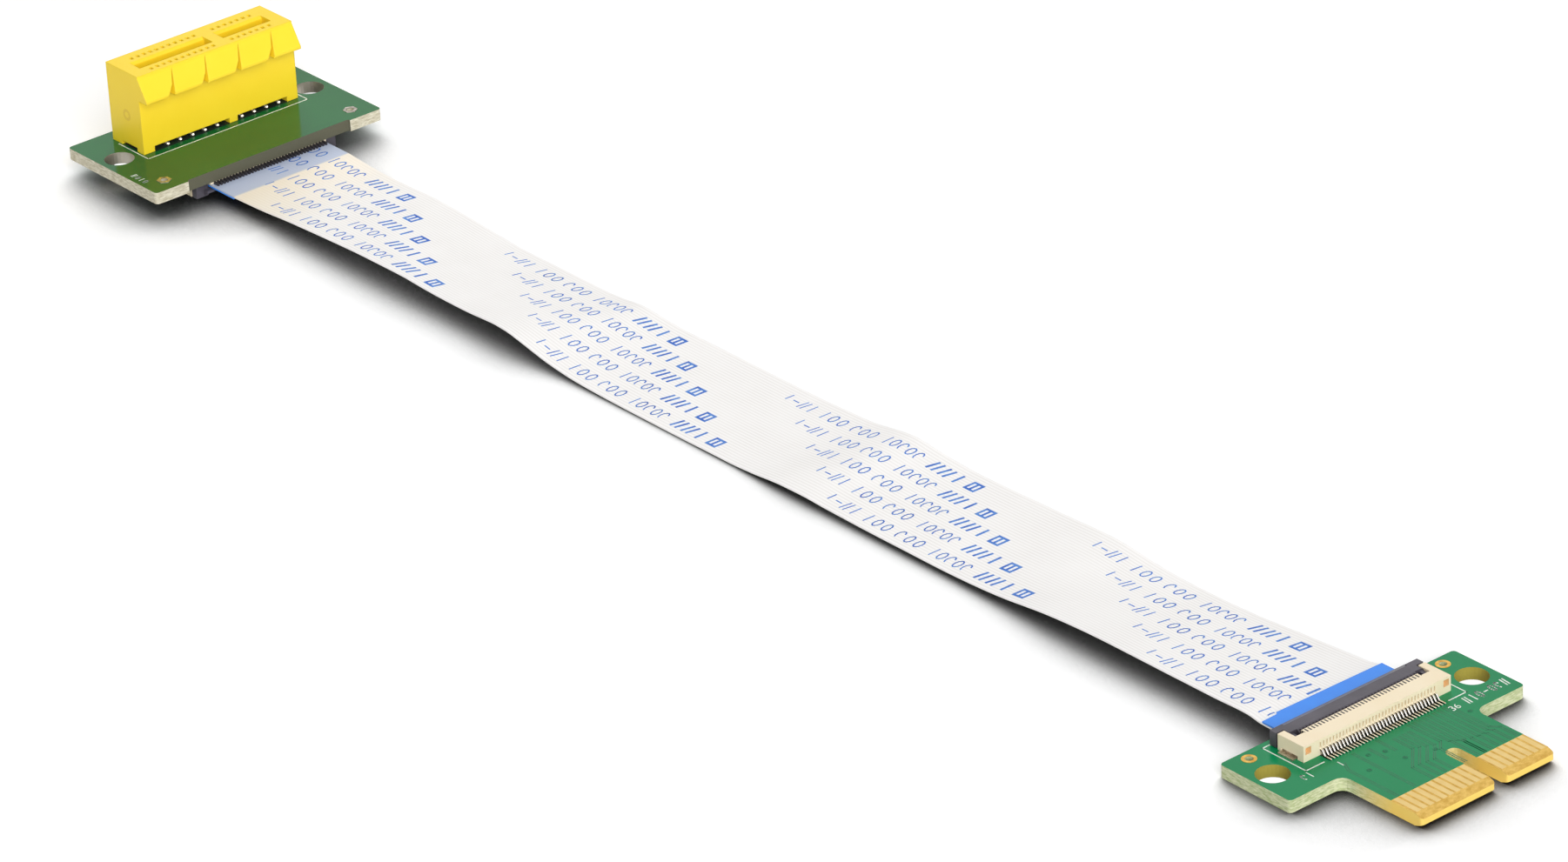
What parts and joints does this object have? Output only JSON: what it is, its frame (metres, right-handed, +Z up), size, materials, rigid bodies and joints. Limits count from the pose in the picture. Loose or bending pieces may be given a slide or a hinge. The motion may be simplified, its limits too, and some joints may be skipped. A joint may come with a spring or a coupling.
{
  "type": "graphics card riser cable",
  "caption": "Flat flexible riser cable that holds an expansion card away from its main board: a card slot on a small board at one end and an edge board with gold fingers at the other.",
  "frame": {"origin": "on the table, midway between the slot board's back edge and the tip of the finger tab, on the centre line", "axes": "+X from the slot board along the cable to the gold fingers, +Y across the boards, +Z up"},
  "size_m": [0.2432, 0.0364, 0.0148],
  "materials": {
    "slot_board": "green solder mask on glass laminate",
    "edge_board": "green solder mask on glass laminate",
    "slot_housing": "moulded, satin",
    "contact": "tinned copper alloy",
    "socket": "moulded, satin",
    "lock": "moulded, satin",
    "tin": "tinned, reflowed",
    "cable": "polyester film, satin",
    "stiffener": "blue polyester tape"
  },
  "bodies": {
    "riser": {"slot_board": "slot_board", "slot_housing": "slot_housing", "slot_contact_a01": "contact", "slot_contact_a02": "contact", "slot_contact_a03": "contact", "slot_contact_a04": "contact", "slot_contact_a05": "contact", "slot_contact_a06": "contact", "slot_contact_a07": "contact", "slot_contact_a08": "contact", "slot_contact_a09": "contact", "slot_contact_a10": "contact", "slot_contact_a11": "contact", "slot_contact_a12": "contact", "slot_contact_a13": "contact", "slot_contact_a14": "contact", "slot_contact_a15": "contact", "slot_contact_a16": "contact", "slot_contact_a17": "contact", "slot_contact_a18": "contact", "slot_contact_b01": "contact", "slot_contact_b02": "contact", "slot_contact_b03": "contact", "slot_contact_b04": "contact", "slot_contact_b05": "contact", "slot_contact_b06": "contact", "slot_contact_b07": "contact", "slot_contact_b08": "contact", "slot_contact_b09": "contact", "slot_contact_b10": "contact", "slot_contact_b11": "contact", "slot_contact_b12": "contact", "slot_contact_b13": "contact", "slot_contact_b14": "contact", "slot_contact_b15": "contact", "slot_contact_b16": "contact", "slot_contact_b17": "contact", "slot_contact_b18": "contact", "slot_board_ribbon_socket": "socket", "slot_board_solder_tab_left": "tin", "slot_board_solder_tab_right": "tin", "edge_board": "edge_board", "edge_board_ribbon_socket": "socket", "edge_board_solder_tab_left": "tin", "edge_board_solder_tab_right": "tin", "ribbon_cable": "cable", "edge_end_stiffener": "stiffener", "slot_end_stiffener": "stiffener"},
    "slot_lock": {"slot_board_ribbon_lock": "lock"},
    "edge_lock": {"edge_board_ribbon_lock": "lock"}
  },
  "joints": [
    {"name": "slot_lock_flip", "type": "hinge", "parent": "riser", "child": "slot_lock", "pos_m": [-0.1046, 0, 0.00055], "axis": [0, 1, 0], "range_deg": [0, 90]},
    {"name": "edge_lock_flip", "type": "hinge", "parent": "riser", "child": "edge_lock", "pos_m": [0.10105, 0, 0.00305], "axis": [0, 1, 0], "range_deg": [0, 90]}
  ]
}
